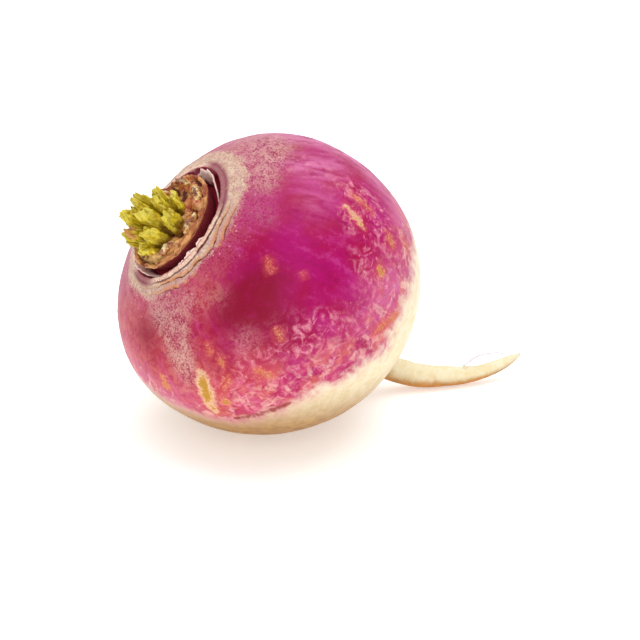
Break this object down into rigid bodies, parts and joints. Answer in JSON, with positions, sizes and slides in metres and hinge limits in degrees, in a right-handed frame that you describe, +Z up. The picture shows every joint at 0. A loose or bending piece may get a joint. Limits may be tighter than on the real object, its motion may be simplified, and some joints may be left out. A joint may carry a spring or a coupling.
{
  "type": "turnip",
  "caption": "Purple-topped root vegetable lying on a small flat of its bulb, with a long taproot and trimmed leaf stalks.",
  "frame": {"origin": "centre of the small flat under the bulb, where it rests on a surface", "axes": "+Z up; +X along the taproot, away from the crown; +Y completes a right-handed frame; the taproot's tip bends towards -Y"},
  "size_m": [0.1095, 0.0763, 0.0728],
  "materials": {
    "turnip_skin": "satin",
    "crown_stump": "matte",
    "leaf_base": "matte",
    "leaf_stalk": "satin",
    "scale_leaf": "matte",
    "side_rootlet": "matte"
  },
  "bodies": {
    "root": {"bulb_and_taproot": "turnip_skin", "side_rootlet": "side_rootlet", "crown_stump": "crown_stump", "leaf_base_01": "leaf_base", "leaf_base_02": "leaf_base", "leaf_base_03": "leaf_base", "leaf_base_04": "leaf_base", "leaf_base_05": "leaf_base", "leaf_base_06": "leaf_base", "leaf_stalk_01": "leaf_stalk", "leaf_stalk_02": "leaf_stalk", "leaf_stalk_03": "leaf_stalk", "leaf_stalk_04": "leaf_stalk", "leaf_stalk_05": "leaf_stalk", "leaf_stalk_06": "leaf_stalk", "leaf_stalk_07": "leaf_stalk", "leaf_stalk_08": "leaf_stalk", "leaf_stalk_09": "leaf_stalk", "leaf_stalk_10": "leaf_stalk", "leaf_stalk_11": "leaf_stalk", "leaf_stalk_12": "leaf_stalk", "leaf_stalk_13": "leaf_stalk", "leaf_stalk_14": "leaf_stalk", "leaf_stalk_15": "leaf_stalk", "scale_leaf_1": "scale_leaf", "scale_leaf_2": "scale_leaf", "scale_leaf_3": "scale_leaf", "scale_leaf_4": "scale_leaf"}
  },
  "joints": []
}
